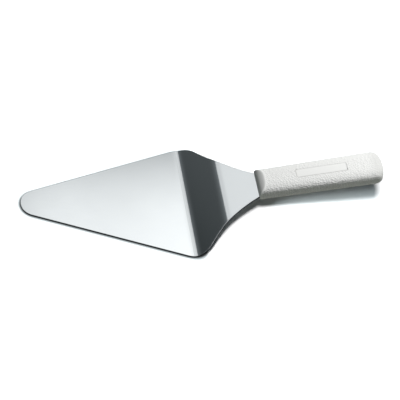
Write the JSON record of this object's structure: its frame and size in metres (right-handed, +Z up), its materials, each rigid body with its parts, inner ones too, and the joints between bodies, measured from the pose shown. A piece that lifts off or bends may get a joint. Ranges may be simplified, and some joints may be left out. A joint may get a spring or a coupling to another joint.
{
  "type": "pizza server",
  "caption": "Pizza server with a wide triangular steel blade folded up into an offset neck, and a textured plastic handle moulded round its tang.",
  "frame": {"origin": "on the surface that the blade lies on, under the middle of the whole server's box", "axes": "+X from the blade's tip to the handle's butt, +Y to the left across the blade, +Z up from the blade's flat underside"},
  "size_m": [0.332, 0.127, 0.0593],
  "materials": {
    "blade_steel": "satin",
    "handle_plastic": "matte"
  },
  "bodies": {
    "root": {"blade": "blade_steel", "handle": "handle_plastic"}
  },
  "joints": []
}
